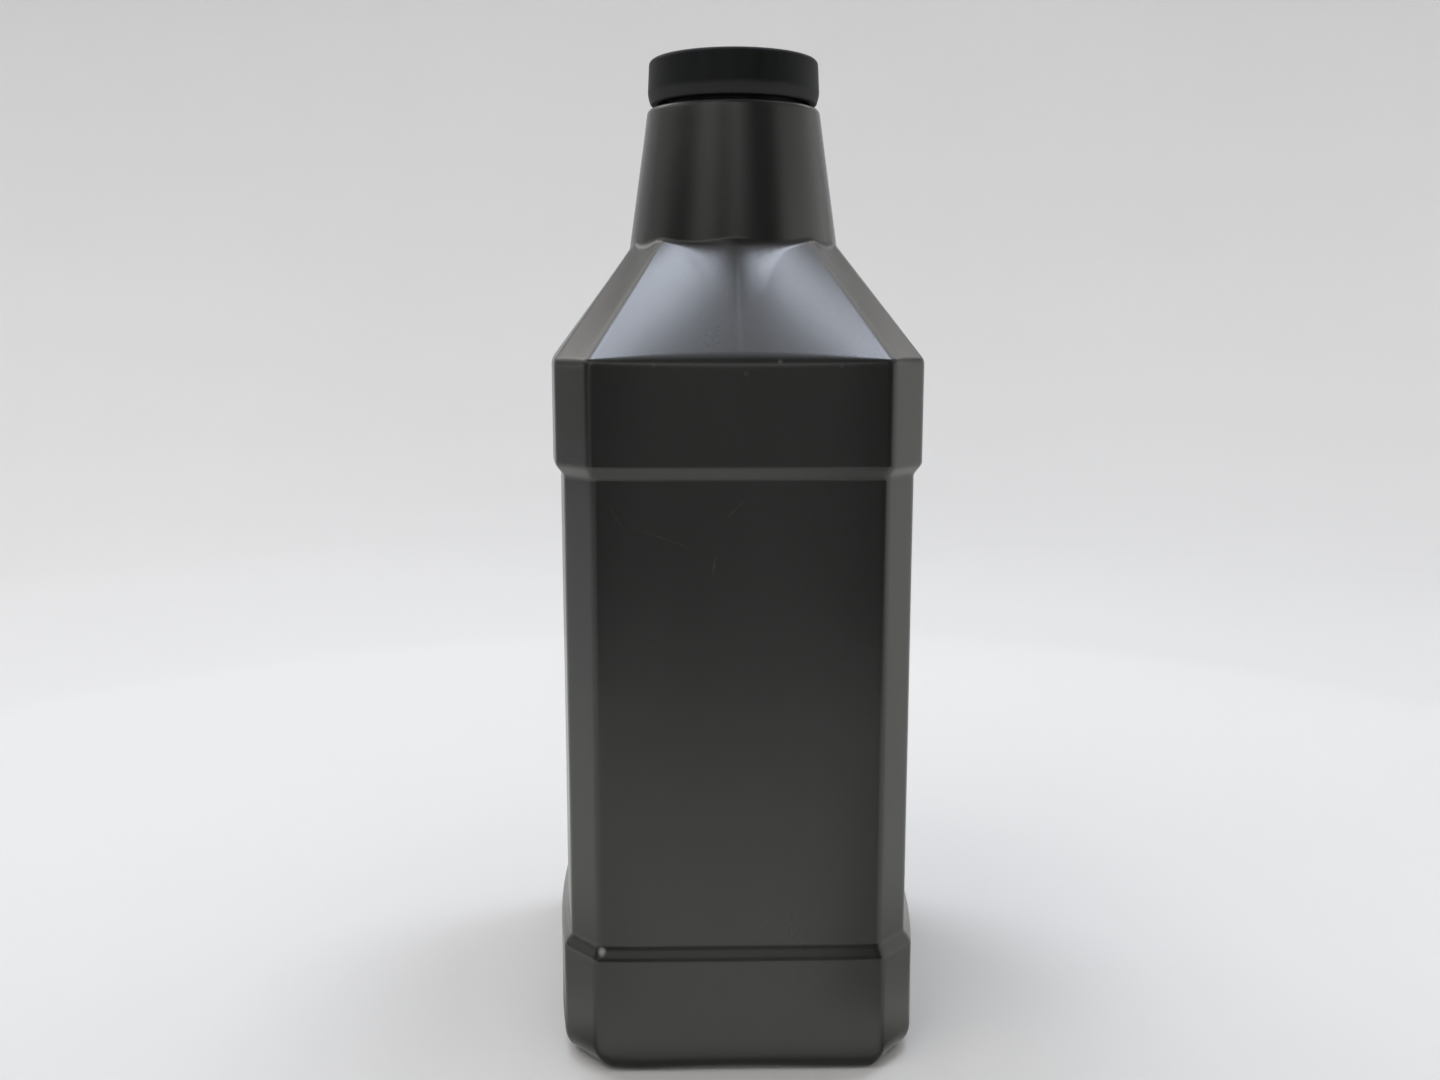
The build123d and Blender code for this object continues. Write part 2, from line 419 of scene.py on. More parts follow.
def carry(keys):
    """Surface rows through key loops, straight between them and rounded at each.

    A key is (loop, ease, rows): the rounding starts and ends at the distance ease from the loop, or
    at two distances, and rows is the number of rows on the straight stretch up to it. The ends
    aren't rounded.
    """
    leave = keys[0][0]
    rows = [leave[None]]
    for (before, *_), (loop, ease, count), (after, *_) in zip(keys, keys[1:], keys[2:]):
        ease_in, ease_out = ease if isinstance(ease, tuple) else (ease, ease)
        arrive = loop + ease_in * unit(before - loop)
        rows.append(leave + evenly(count + 1)[1:, None, None] * (arrive - leave))
        leave = loop + ease_out * unit(after - loop)
        rows.append(bend(arrive, loop, leave)[1:])
    last, _, count = keys[-1]
    rows.append(leave + evenly(count + 1)[1:, None, None] * (last - leave))
    return np.concatenate(rows)


def outward(rows):
    """Unit normal at each grid point: the step along a row crossed with that to the next row."""
    along = np.roll(rows, -1, axis=1) - np.roll(rows, 1, axis=1)
    return unit(np.cross(along, np.gradient(rows, axis=0)))


def smooth(low, high, value):
    """Smooth step from 0 at low to 1 at high: 3t^2 - 2t^3."""
    t = np.clip((value - low) / (high - low), 0, 1)
    return t * t * (3 - 2 * t)


def mesh_object(name, points, faces):
    """Mesh object at the origin from points and faces."""
    mesh = bpy.data.meshes.new(name)
    mesh.from_pydata(points.tolist(), [], faces)
    piece = bpy.data.objects.new(name, mesh)
    bpy.context.scene.collection.objects.link(piece)
    return piece


def grid_object(name, rows, closed=True):
    """Mesh object from rows of points that run round anticlockwise, stacked along the surface.

    Neighbouring points of two rows make a face. A closed grid has a middle point on its first and
    last rows.
    """
    count, width = rows.shape[:2]
    index = np.arange(count * width).reshape(count, width)
    turned = np.roll(index, -1, axis=1)
    quads = np.stack([index[:-1], turned[:-1], turned[1:], index[1:]], axis=-1).reshape(-1, 4)
    points = rows.reshape(-1, 3)
    faces = quads.tolist()
    if closed:
        points = np.concatenate([points, rows[[0, -1]].mean(axis=1)])
        first, last = np.full(width, count * width), np.full(width, count * width + 1)
        faces += np.stack([first, turned[0], index[0]], axis=-1).tolist()
        faces += np.stack([last, index[-1], turned[-1]], axis=-1).tolist()
    piece = mesh_object(name, points, faces)
    piece.data.shade_smooth()
    return piece


def bottle_rows(shape):
    """Rows of the shell from the middle of the base up the outside, over the rim and down inside.

    Returns the rows and how many of them are the outside.
    """
    wall = shape.wall
    inset = shape.panel_inset
    band_top = shape.base_band
    panel_bottom = band_top + shape.step
    panel_top = panel_bottom + shape.panel
    band_bottom = panel_top + shape.step
    edge = band_bottom + shape.shoulder_band
    foot = edge + shape.shoulder
    ledge = foot + shape.neck
    rim = BODY_HIGH.z
    lean = np.arctan2(shape.body_depth / 2 - shape.neck_foot_radius, shape.shoulder)
    drop = wall * np.tan(lean / 2)
    top, stem, bore = shape.neck_top_radius, shape.stem_radius, shape.mouth_radius
    recess_top = recess(shape, shape.recess_height, shape.recess_slope)
    centre = recess_top * (CENTRE_SHARE, CENTRE_SHARE, 1)
    inside_top = recess(shape, shape.recess_height + wall, shape.recess_slope - wall)
    outside = [
        (centre, 0, 0),
        (recess_top, RECESS_TOP_ROUND, 8),
        (recess(shape, 0, 0), RECESS_FOOT_ROUND, 2),
        (octagon(shape, 0, 0), foot_ease(shape), 3),
        (octagon(shape, band_top, 0), BASE_STEP_ROUND, 10),
        (octagon(shape, panel_bottom, inset), BASE_STEP_ROUND, 1),
        (octagon(shape, panel_top, inset), SHOULDER_STEP_ROUND, 40),
        (octagon(shape, band_bottom, 0), SHOULDER_STEP_ROUND, 1),
        (octagon(shape, edge, 0), shoulder_ease(), 10),
        (*neck_foot(shape, foot), 30),
        (neck_ring(ledge, top), LEDGE_ROUND, 20),
        (neck_ring(ledge, stem), STEM_FOOT_ROUND, 2),
        (neck_ring(rim, stem), RIM_ROUND, 4),
    ]
    inside = [
        (neck_ring(rim, bore), RIM_ROUND, 1),
        (neck_ring(ledge - wall, bore), STEM_FOOT_ROUND, 3),
        (neck_ring(ledge - LEDGE_ROUND - wall, top - wall), NECK_INSIDE_ROUND, 1),
        (neck_ring(foot - drop, shape.neck_foot_radius - wall), SHOULDER_INSIDE_ROUND, 4),
        (octagon(shape, edge - drop, wall), SHOULDER_INSIDE_ROUND, 8),
        (octagon(shape, band_bottom, wall), STEP_INSIDE_ROUND, 2),
        (octagon(shape, panel_top, inset + wall), STEP_INSIDE_ROUND, 1),
        (octagon(shape, panel_bottom, inset + wall), STEP_INSIDE_ROUND, 6),
        (octagon(shape, band_top, wall), STEP_INSIDE_ROUND, 1),
        (octagon(shape, wall, wall), foot_ease(shape) - wall, 2),
        (recess(shape, wall, -wall), FLOOR_INSIDE_ROUND, 1),
        (inside_top, FLOOR_INSIDE_ROUND, 1),
        (centre + (0, 0, wall), 0, 3),
    ]
    outside_rows = sum(rows for _, _, rows in outside) + BEND_STEPS * (len(outside) - 1)
    return carry(outside + inside), outside_rows


def moulded(shape, rows, outside_rows):
    """Rows moved along their normals by what moulding and cooling leave.

    Slow waves, the product of two sines, run over the outside, and the mould line stands up by
    (1 - m^2)^2 over its own width. Both only take away from the surface.
    """
    x, y, z = np.moveaxis(rows, -1, 0) / MM
    outside = np.arange(len(rows))[:, None] < outside_rows
    waves = np.sin(x / WAVE_X + z / WAVE_XZ) * np.sin(y / WAVE_Y - z / WAVE_YZ + WAVE_LAG)
    waves = WAVE_DEPTH * (waves - 1) * (1 - smooth(*WAVE_FADE, z))
    ridge = np.clip(1 - (ACROSS / MOULD_LINE_SHARE) ** 2, 0, None) ** 2 * (KIND == NARROW)
    line = shape.mould_line * (ridge - 1) * (1 - smooth(*MOULD_LINE_FADE, z))
    relief = outside * (waves + line) * smooth(*FOOT_FADE, z)
    return rows + relief[..., None] * outward(rows)


def thread_rows(radius, reach, half_height, pitch, first_turn, turns):
    """Rows of a helical ridge: an ellipse carried along a rising circle, shrunk over its ends.

    The ellipse's middle lies on the carrying wall at radius, it reaches that far out (or in, if
    negative) and half_height up and down.
    """
    along = np.linspace(0, 1, THREAD_ROWS)
    angle = 2 * np.pi * (first_turn + turns * along)
    taper = smooth(0, THREAD_TAPER, along) * smooth(0, THREAD_TAPER, 1 - along)
    size = (THREAD_TIP + (1 - THREAD_TIP) * taper)[:, None]
    around = np.linspace(0, 2 * np.pi, THREAD_POINTS, endpoint=False)
    out = radius + reach * size * np.cos(around)
    up = -half_height * size * np.sin(around) * np.sign(reach)
    up = up + (THREAD_START + pitch * turns * along)[:, None]
    return np.stack([out * np.cos(angle)[:, None], out * np.sin(angle)[:, None], up], axis=-1)


def pinch_rows(shape):
    """Rows of the pinched seam under the base: a half-sunk ellipse carried along Y.

    It shrinks at its ends by 1 - t^8, and its height ripples with a sine.
    """
    along = np.linspace(-1, 1, PINCH_ROWS)[:, None]
    size = PINCH_TIP + (1 - PINCH_TIP) * (1 - along**8)
    around = np.linspace(0, 2 * np.pi, PINCH_POINTS, endpoint=False)
    reach = shape.body_depth / 2 - shape.recess_margin - shape.recess_slope - PINCH_MARGIN
    ripple = 1 + PINCH_RIPPLE * np.sin(along * RIPPLE_RATE)
    x = PINCH_HALF_WIDTH * size * np.cos(around)
    z = shape.recess_height - PINCH_HEIGHT * size * np.sin(around) * ripple
    return np.stack([x, reach * along + 0 * x, z], axis=-1)


# Shaders

class Value:
    """A number's socket. Arithmetic on it adds Math nodes to its graph."""

    def __init__(self, graph, socket):
        self.graph = graph
        self.socket = socket

    def math(self, operation, *others):
        """Result of a Math node's operation on the value and others."""
        inputs = dict(enumerate((self, *others)))
        return self.graph.node("ShaderNodeMath", {"operation": operation}, inputs)

    def __add__(self, other):
        return self.math("ADD", other)

    def __sub__(self, other):
        return self.math("SUBTRACT", other)

    def __rsub__(self, other):
        return self * -1 + other

    def __mul__(self, other):
        return self.math("MULTIPLY", other)

    __radd__ = __add__
    __rmul__ = __mul__

    def step(self, low, high):
        """Smooth step of the value from 0 at low to 1 at high."""
        inputs = {"Value": self, "From Min": low, "From Max": high}
        return self.graph.node("ShaderNodeMapRange", {"interpolation_type": "SMOOTHSTEP"}, inputs)

    def near(self, middle, reach, full):
        """Smooth bump: 1 within full of the middle and 0 beyond reach of it."""
        return (self - middle).math("ABSOLUTE").step(reach, full)

    def within(self, low, full_low, full_high, high):
        """Smooth plateau: 1 between the two full values and 0 outside low and high."""
        return self.step(low, full_low) * self.step(high, full_high)


class Graph:
    """A node tree with short ways to add nodes."""

    def __init__(self, tree):
        self.tree = tree
        tree.nodes.clear()

    def node(self, kind, settings=None, inputs=None, output=0):
        """Add a node, set its settings, fill or link its inputs, and return one output if any."""
        node = self.tree.nodes.new(kind)
        for key, value in (settings or {}).items():
            setattr(node, key, value)
        for key, value in (inputs or {}).items():
            if isinstance(value, Value):
                self.tree.links.new(value.socket, node.inputs[key])
            else:
                node.inputs[key].default_value = value
        return Value(self, node.outputs[output]) if node.outputs else None

    def scaled(self, vector, factor):
        """Vector times a number."""
        inputs = {0: vector, "Scale": factor}
        return self.node("ShaderNodeVectorMath", {"operation": "SCALE"}, inputs)

    def stretched(self, vector, factors):
        """Vector with its axes scaled."""
        inputs = {0: vector, 1: factors}
        return self.node("ShaderNodeVectorMath", {"operation": "MULTIPLY"}, inputs)

    def millimetres(self):
        """Object coordinates in millimetres."""
        return self.scaled(self.node("ShaderNodeTexCoord", output="Object"), 1 / MM)

    def axes(self, vector):
        """The three parts of a vector."""
        split = self.node("ShaderNodeSeparateXYZ", inputs={0: vector})
        return [Value(self, socket) for socket in split.socket.node.outputs]

    def noise(self, vector, scale, detail):
        """Noise from 0 to 1, with scale in bumps per millimetre."""
        inputs = {"Vector": vector, "Scale": scale, "Detail": detail}
        return self.node("ShaderNodeTexNoise", {"noise_dimensions": "3D"}, inputs)

    def mix(self, factor, first, second):
        """Colour between two colours: sockets 6 and 7 of the Mix node, with output 2 its result."""
        inputs = {0: factor, 6: first, 7: second}
        return self.node("ShaderNodeMix", {"data_type": "RGBA"}, inputs, output=2)

    def bump(self, height, distance):
        """Normal from a height of 0 to 1, with its depth in metres."""
        return self.node("ShaderNodeBump", inputs={"Height": height, "Distance": distance})

    def surface(self, **inputs):
        """Principled surface on the material's output, with its inputs named in lower case."""
        titles = [key.replace("_", " ").title().replace("Ior", "IOR") for key in inputs]
        inputs = dict(zip(titles, inputs.values()))
        shader = self.node("ShaderNodeBsdfPrincipled", inputs=inputs)
        self.node("ShaderNodeOutputMaterial", inputs={"Surface": shader})


def material(name):
    """New material and its graph."""
    made = bpy.data.materials.new(name)
    made.use_nodes = True
    return made, Graph(made.node_tree)


def rgba(rgb):
    """Colour with full alpha."""
    return (*rgb, 1.0)


GRAIN_DEPTH = 0.008 * MM
CELL_DEPTH = 0.05 * MM
CELL_SCALE = 2.6  # cells of the foam per millimetre
HEM_FADE = (3.4, 2.0)  # heights over the cap's lower edge where its matt hem, painted paler as a highlight, starts and is full

# Scratches on the narrow front: x and z of both ends and half the width, in millimetres
SCRATCHES = (
    (-20.9, 112.5, -9.7, 108.4, 0.22),
    (-4.7, 107.0, -5.5, 102.6, 0.35),
    (-3.0, 113.8, 0.9, 117.7, 0.25),
    (-25.0, 116.0, -22.5, 112.0, 0.25),
    (9.5, 48.5, 12.0, 46.4, 0.30),
)
SCRATCH_STRENGTH = 0.05
SCRATCH_OUTSIDE, SCRATCH_INSIDE = 0.6, 0.8  # how far a scratch's end fades, in millimetres
# Rubbed spots: x, z, radius in millimetres, and strength
RUBS = (
    (-27.8, 25.8, 1.1, 0.7),
    (7.4, 144.1, 0.8, 0.10),
    (-16.5, 143.6, 0.7, 0.03),
    (1.0, 142.0, 1.0, 0.03),
    (19.0, 143.4, 0.6, 0.03),
)
FRONT_FADE = (-40, -44)  # Y in millimetres where the front's wear starts and is full


def wear(graph, place):
    """Mask of the scratches and rubs on the narrow front, with the scratches broken up by noise.

    Along and across a scratch are the dot products of the offset from its start with its direction
    and with the direction's normal.
    """
    x, y, z = graph.axes(place)
    lines = spots = 0
    for x0, z0, x1, z1, half_width in SCRATCHES:
        run = np.hypot(x1 - x0, z1 - z0)
        ahead, side = (x1 - x0) / run, (z1 - z0) / run
        along = (x - x0) * ahead + (z - z0) * side
        across = (z - z0) * ahead - (x - x0) * side
        ends = along.within(
            -SCRATCH_OUTSIDE, SCRATCH_INSIDE, run - SCRATCH_INSIDE, run + SCRATCH_OUTSIDE
        )
        lines = lines + across.near(0, half_width, 0) * ends
    for x0, z0, radius, strength in RUBS:
        distance = ((x - x0) * (x - x0) + (z - z0) * (z - z0)).math("SQRT")
        spots = spots + distance.step(radius, 0) * strength
    broken = graph.noise(place, scale=2.2, detail=3).step(0.36, 0.62)
    worn = (lines * broken * SCRATCH_STRENGTH + spots) * y.step(*FRONT_FADE)
    return worn.math("MINIMUM", 1)


def bottle_plastic(finish):
    """Satin black polyethylene: a fine moulded grain, a faint uneven cast, scratches and rubs."""
    made, graph = material("bottle_plastic")
    place = graph.millimetres()
    cast = graph.noise(graph.stretched(place, (1, 1, 0.45)), scale=0.06, detail=3)
    mottle = graph.noise(place, scale=0.9, detail=3)
    grain = graph.noise(place, scale=3.4, detail=2)
    worn = wear(graph, place)
    bloom = cast.step(0.25, 0.75) * 0.7 + mottle * 0.3
    tone = graph.mix(bloom, rgba(finish.bottle_colour), rgba(finish.bottle_bloom))
    tone = graph.mix(worn, tone, rgba(finish.scuff_colour))
    uneven = (cast - 0.5) * 0.05 + (mottle - 0.5) * 0.02
    graph.surface(
        base_color=tone,
        roughness=uneven + finish.bottle_roughness + worn * 0.2,
        ior=1.58,
        normal=graph.bump(grain, GRAIN_DEPTH),
    )
    return made


def cap_plastic(finish):
    """Blue-black polypropylene with a finer grain, faint upright flow marks and a matt hem painted
    paler as a highlight.
    """
    made, graph = material("cap_plastic")
    place = graph.millimetres()
    cast = graph.noise(graph.stretched(place, (1, 1, 0.25)), scale=0.35, detail=3)
    grain = graph.noise(place, scale=4.5, detail=2)
    _, _, z = graph.axes(place)
    # The hem is rougher for its matt finish and paler for a painted highlight
    hem = (z - CAP_LOW.z / MM + cast * 0.8).step(*HEM_FADE)
    tone = graph.mix(cast.step(0.3, 0.7), rgba(finish.cap_colour), rgba(finish.cap_bloom))
    tone = graph.mix(hem, tone, rgba(finish.hem_highlight_colour))
    graph.surface(
        base_color=tone,
        roughness=(cast - 0.5) * 0.08 + finish.cap_roughness + hem * 0.12,
        ior=1.49,
        specular_ior_level=0.14,
        normal=graph.bump(grain, GRAIN_DEPTH),
    )
    return made


def liner_foam(finish):
    """Matt white foam with small cells."""
    made, graph = material("liner_foam")
    inputs = {"Vector": graph.millimetres(), "Scale": CELL_SCALE}
    cells = graph.node("ShaderNodeTexVoronoi", {"feature": "F1"}, inputs, output="Distance")
    graph.surface(
        base_color=graph.mix(
            cells.step(0.1, 0.7), rgba(finish.liner_colour), rgba(finish.liner_shade)
        ),
        roughness=cells * 0.1 + 0.72,
        ior=1.45,
        normal=graph.bump(cells, CELL_DEPTH),
    )
    return made


def place_piece(piece, body, finish_material):
    """Give a finished piece its body and its material."""
    piece.data.materials.append(finish_material)
    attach(piece, body)


# Operators

class OILBOTTLE_OT_shell(bpy.types.Operator):
    """Build the moulded bottle with its pinched seam and the thread on its stem"""

    bl_idname = "oil_bottle.shell"
    bl_label = "Bottle"

    def execute(self, context):
        shape = context.scene.oil_bottle_shape
        plastic = bottle_plastic(context.scene.oil_bottle_finish)
        rows, outside_rows = bottle_rows(shape)
        shell = grid_object("bottle_shell", moulded(shape, rows, outside_rows))
        place_piece(shell, "bottle", plastic)
        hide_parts("bottle_body")
        ridge = thread_rows(
            shape.stem_radius,
            reach=1.2 * MM,
            half_height=0.85 * MM,
            pitch=shape.thread_pitch,
            first_turn=0,
            turns=1.05,
        )
        place_piece(grid_object("stem_thread", ridge), "bottle", plastic)
        seam = grid_object("pinch_seam", pinch_rows(shape))
        place_piece(seam, "bottle", plastic)
        return {"FINISHED"}


class OILBOTTLE_OT_cap(bpy.types.Operator):
    """Build the low screw cap and the thread inside it"""

    bl_idname = "oil_bottle.cap"
    bl_label = "Screw cap"

    def execute(self, context):
        shape, cap = context.scene.oil_bottle_shape, context.scene.oil_bottle_cap
        plastic = cap_plastic(context.scene.oil_bottle_finish)
        low, top = CAP_LOW.z, CAP_HIGH.z
        ceiling = top - cap.top_thickness
        keys = [
            (ring(POLE_RADIUS, ceiling), 0, 0),
            (ring(cap.bore_radius, ceiling), CEILING_ROUND, 4),
            (ring(cap.bore_radius, low), SKIRT_INSIDE_ROUND, 6),
            (ring(cap.base_radius - cap.hem_inset, low), SKIRT_OUTSIDE_ROUND, 2),
            (ring(cap.base_radius, low + cap.hem), HEM_ROUND, 4),
            (ring(cap.top_radius, top), cap.top_round, 8),
            (ring(POLE_RADIUS, top - CAP_DISH), 0, 12),
        ]
        shell = grid_object("cap_shell", carry(keys))
        place_piece(shell, "cap", plastic)
        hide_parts("screw_cap")
        ridge = thread_rows(
            cap.bore_radius,
            reach=-1.1 * MM,
            half_height=0.75 * MM,
            pitch=shape.thread_pitch,
            first_turn=0.5,
            turns=1,
        )
        place_piece(grid_object("cap_thread", ridge), "cap", plastic)
        return {"FINISHED"}


class OILBOTTLE_OT_liner(bpy.types.Operator):
    """Build the foam liner under the cap's top"""

    bl_idname = "oil_bottle.liner"
    bl_label = "Liner"

    def execute(self, context):
        low, top = LINER_LOW.z, LINER_HIGH.z
        radius = (LINER_HIGH.x - LINER_LOW.x) / 2
        keys = [
            (ring(POLE_RADIUS, low), 0, 0),
            (ring(radius, low), LINER_ROUND, 8),
            (ring(radius, top), LINER_ROUND, 1),
            (ring(POLE_RADIUS, top), 0, 8),
        ]
        wad = grid_object("liner_wad", carry(keys))
        place_piece(wad, "liner", liner_foam(context.scene.oil_bottle_finish))
        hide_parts("cap_liner")
        return {"FINISHED"}


# Stage, in metres
SWEEP_RADIUS, SWEEP_HEIGHT, SWEEP_CURVE = 1.3, 1.6, 0.6
SWEEP_CENTRE = 0.01
SWEEP_SHADE = 0.96  # share of the floor's colour that its darker drifts keep
# Glowing cards, seen only in reflections, that paint the reflections of the room and the floor
ROOM_CARD_RADIUS = 0.37
ROOM_CARD_BEARINGS = np.linspace(-118, 125, 90)  # degrees from straight in front
ROOM_CARD_LIFT = 0.085  # of its lower edge, at the left
ROOM_CARD_HEIGHT, ROOM_CARD_RISE = 0.75, 0.85  # of its upper edge, and how much more in front
FLOOR_CARD_RADIUS = 0.36
FLOOR_CARD_HEIGHT = 0.1 * MM
FLOOR_CARD_INSET = 2.2 * MM  # how far it runs in under the foot's rounding
CARD_COLOUR = (1, 1.02, 0.97)
ROOM_LEVEL = 0.07  # glow of the painted room reflection where no strip lies
WARM, WARMER = (1.0, 0.96, 0.92), (1.0, 0.95, 0.88)
LIGHT_AIM = Vector((0, 0, 0.15))  # the bottle's shoulder
SENSOR_WIDTH = 36  # millimetres
CAMERA_PLACE = Vector((-9.81, -311.3, 151.8)) * MM
CAMERA_AHEAD = Vector((0.0219, 0.9875, -0.1561))
NEAREST_SEEN = 0.01


def aimed(place, ahead):
    """Matrix of a light or a camera at a place that looks ahead with its top up."""
    return Matrix.Translation(place) @ ahead.to_track_quat("-Z", "Y").to_matrix().to_4x4()


def bearing(x, y):
    """Angle round the bottle in degrees: 0 straight in front and positive towards +X."""
    return x.math("ARCTAN2", y * -1) * np.degrees(1)


class OILBOTTLE_OT_stage(bpy.types.Operator):
    """Set up the pale sweep, the soft light, the glowing cards that paint reflections, and the
    camera
    """

    bl_idname = "oil_bottle.stage"
    bl_label = "Stage"

    def execute(self, context):
        stage = context.scene.oil_bottle_stage
        self.sweep(stage)
        self.painted_room_reflection()
        self.painted_floor_reflection(context.scene.oil_bottle_shape)
        self.lights(context, stage)
        self.camera(context, stage)
        context.scene.view_settings.view_transform = "Standard"
        return {"FINISHED"}

    def sweep(self, stage):
        """Round floor that curves up into a wall on all sides, with its faces inwards."""
        keys = [
            (ring(SWEEP_CENTRE, 0), 0, 0),
            (ring(SWEEP_RADIUS, 0), SWEEP_CURVE, 20),
            (ring(SWEEP_RADIUS, SWEEP_HEIGHT), 0, 8),
        ]
        floor = grid_object("pale_sweep", carry(keys)[:, ::-1], closed=False)
        made, graph = material("pale_sweep")
        drift = graph.noise(graph.millimetres(), scale=0.004, detail=2)
        shaded = SWEEP_SHADE * np.array(stage.floor_colour)
        tone = graph.mix(drift, rgba(shaded), rgba(stage.floor_colour))
        graph.surface(base_color=tone, roughness=0.85)
        floor.data.materials.append(made)

    def card(self, name, rows):
        """Strip between two rows of points that glows and is seen only in reflections, as a painted
        reflection, and its material's graph.
        """
        count = rows.shape[1]
        index = np.arange(2 * count).reshape(2, count)
        quads = np.stack([index[0, :-1], index[0, 1:], index[1, 1:], index[1, :-1]], axis=-1)
        piece = mesh_object(name, rows.reshape(-1, 3), quads.tolist())
        made, graph = material(name)
        piece.data.materials.append(made)
        piece.visible_camera = piece.visible_diffuse = piece.visible_shadow = False
        piece.visible_transmission = piece.visible_volume_scatter = False
        return graph

    def painted_room_reflection(self):
        """Glowing card, seen only in reflections, that paints a reflection of the room: dim round
        the front and the left and bright at the right.

        Its level is a sum of strips, each the product of its place round the bottle in degrees, its
        place in height in millimetres, and its strength: a middle strip, a lighter strip at the
        left that is narrower at the body's height, a grey left end, a bright right end, and a level
        strip of light above them that the step over the base band shows.
        """
        bearings = ROOM_CARD_BEARINGS
        plan = ROOM_CARD_RADIUS * direction(np.radians(bearings - 90))
        low = ROOM_CARD_LIFT * smooth(-35, -65, bearings)
        rise = ROOM_CARD_RISE * smooth(-80, -55, bearings) * smooth(80, 55, bearings)
        high = ROOM_CARD_HEIGHT + rise
        graph = self.card("painted_room_reflection", np.stack([at_height(plan, low), at_height(plan, high)]))
        x, y, z = graph.axes(graph.millimetres())
        turn = bearing(x, y)
        # Strips of the painted room reflection: painted light strips over a dim painted wall
        middle = turn.near(2, 18, 4) * z.step(520, 400) * (z.step(160, 260) * 0.2 + 0.25)
        left = turn.near(-34, 24, 4) * z.step(120, 200) * 0.55
        low_left = turn.near(-43, 15, 7) * z.step(200, 120) * 0.35
        end = turn.step(-62, -95) * (z.within(130, 165, 190, 225) * 0.35 + 0.40)
        right = turn.step(44, 62) * (z.step(400, 220) * 0.66 + 0.30)
        sill = turn.step(28, 6) * z.within(310, 380, 470, 620) * 0.6
        self.glow(graph, middle + left + low_left + end + right + sill + ROOM_LEVEL)

    def painted_floor_reflection(self, shape):
        """Glowing card on the floor, seen only in reflections, that paints the floor's reflection:
        bright round the bottle, with painted shade near the foot, far in front and at two bearings.

        Distances are in millimetres and bearings in degrees. The part in the foot's painted shadow
        keeps a fifth of its level, and the corners of the foot get a little painted light back.
        """
        outer = neck_ring(FLOOR_CARD_HEIGHT, FLOOR_CARD_RADIUS)
        inner = octagon(shape, FLOOR_CARD_HEIGHT, FLOOR_CARD_INSET)
        rows = np.stack([outer, inner])
        graph = self.card("painted_floor_reflection", np.concatenate([rows, rows[:, :1]], axis=1))
        x, y, _ = graph.axes(graph.millimetres())
        turn = bearing(x, y)
        radius = (x * x + y * y).math("SQRT")
        aside = x.math("ABSOLUTE")
        front = aside.step(90, 30)
        # Painted contact shadow: near the foot the glow keeps a fifth of its level
        clear = y.math("ABSOLUTE").step(48, 60).math("MAXIMUM", aside.step(38, 54))
        # Painted shadow of the bottle at two bearings, and painted light at the foot's corners
        shade = turn.near(27, 18, 6) * 0.42 + turn.near(-24, 14, 4) * 0.14
        corner = turn.math("ABSOLUTE").near(42, 14, 6) * radius.step(62, 55)
        level = (radius.step(300, 130) * 0.34 + 0.22) * front + 0.42
        level = level - shade * radius.step(72, 90) + radius.step(65, 130) * (1 - front) * 0.55
        self.glow(graph, level * (clear * 0.8 + 0.2) + corner * 0.25)

    def glow(self, graph, level):
        """Give a card its level, as the colour of its glow: the light of a painted reflection."""
        graph.surface(
            base_color=rgba((0, 0, 0)),
            specular_ior_level=0,
            emission_color=graph.scaled(CARD_COLOUR, level),
            emission_strength=1,
        )

    def lights(self, context, stage):
        """Two cool softboxes overhead, a warm rim light at each side behind, a fill and a sky.

        A softbox's power is its level times pi times its area.
        """
        cool, level = stage.softbox_colour, stage.softbox_level
        softboxes = (
            ("softbox_left", (-0.21, 0.25, 1.15), (0.28, 0.38), cool, level),
            ("softbox_right", (0.30, 0.20, 1.15), (0.18, 0.36), cool, 1.5 * level),
            ("rim_left", (-0.62, 0.53, 0.9), (0.5, 0.5), WARM, 1.9),
            ("rim_right", (0.62, 0.53, 0.9), (0.5, 0.5), WARM, 1.2),
        )
        for name, place, size, tint, strength in softboxes:
            self.softbox(context, name, place, size, tint, strength * np.pi * size[0] * size[1])
        place, size = (-0.50, -0.50, 1.1), (0.7, 0.7)
        fill = self.softbox(context, "floor_fill", place, size, WARMER, stage.fill_power)
        fill.visible_glossy = False
        world = bpy.data.worlds.new("studio_sky")
        world.use_nodes = True
        graph = Graph(world.node_tree)
        inputs = {"Color": rgba((1, 1, 1)), "Strength": stage.sky}
        sky = graph.node("ShaderNodeBackground", inputs=inputs)
        graph.node("ShaderNodeOutputWorld", inputs={"Surface": sky})
        context.scene.world = world

    def softbox(self, context, name, place, size, tint, power):
        """Rectangular light that faces the bottle's shoulder."""
        light = bpy.data.lights.new(name, "AREA")
        light.shape = "RECTANGLE"
        light.size, light.size_y = size
        light.color = tint
        light.energy = power
        lamp = bpy.data.objects.new(name, light)
        lamp.matrix_world = aimed(place, LIGHT_AIM - Vector(place))
        context.scene.collection.objects.link(lamp)
        return lamp

    def camera(self, context, stage):
        """Camera at the photograph's viewing angle."""
        camera = bpy.data.cameras.new("camera")
        camera.sensor_width = SENSOR_WIDTH
        camera.lens = stage.lens
        camera.clip_start = NEAREST_SEEN
        eye = bpy.data.objects.new("camera", camera)
        eye.matrix_world = aimed(CAMERA_PLACE, CAMERA_AHEAD)
        context.scene.collection.objects.link(eye)
        context.scene.camera = eye


class OILBOTTLE_PT_pieces(bpy.types.Panel):
    """Lists the bottle's pieces in the sidebar."""

    bl_label = "Oil Bottle"
    bl_space_type = "VIEW_3D"
    bl_region_type = "UI"
    bl_category = "Oil Bottle"

    def draw(self, context):
        for operator in OPERATORS:
            self.layout.operator(operator.bl_idname)


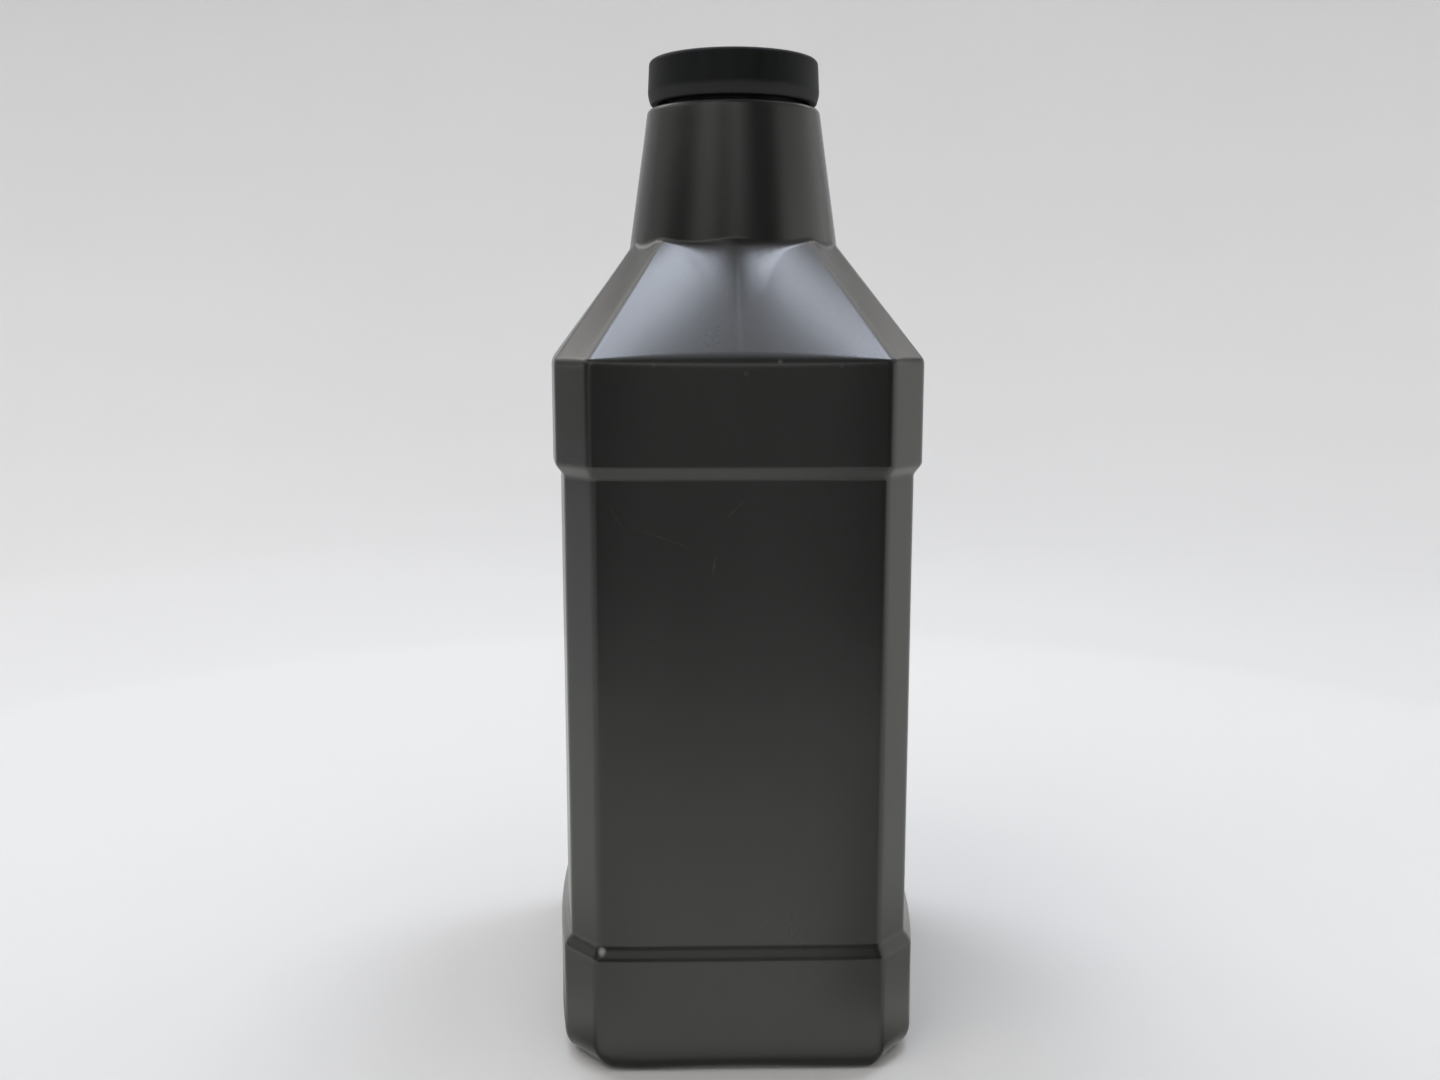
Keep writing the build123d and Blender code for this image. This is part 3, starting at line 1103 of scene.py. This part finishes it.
GROUPS = {
    "oil_bottle_shape": BottleShape,
    "oil_bottle_cap": CapShape,
    "oil_bottle_finish": Finish,
    "oil_bottle_stage": Stage,
}
OPERATORS = (OILBOTTLE_OT_shell, OILBOTTLE_OT_cap, OILBOTTLE_OT_liner, OILBOTTLE_OT_stage)
CLASSES = (*GROUPS.values(), *OPERATORS, OILBOTTLE_PT_pieces)


def register():
    for cls in CLASSES:
        bpy.utils.register_class(cls)
    for name, group in GROUPS.items():
        setattr(bpy.types.Scene, name, PointerProperty(type=group))


def unregister():
    for name in GROUPS:
        delattr(bpy.types.Scene, name)
    for cls in reversed(CLASSES):
        bpy.utils.unregister_class(cls)


def main():
    register()
    bpy.ops.oil_bottle.shell()
    bpy.ops.oil_bottle.cap()
    bpy.ops.oil_bottle.liner()
    bpy.ops.oil_bottle.stage()


if __name__ == "__main__":
    main()
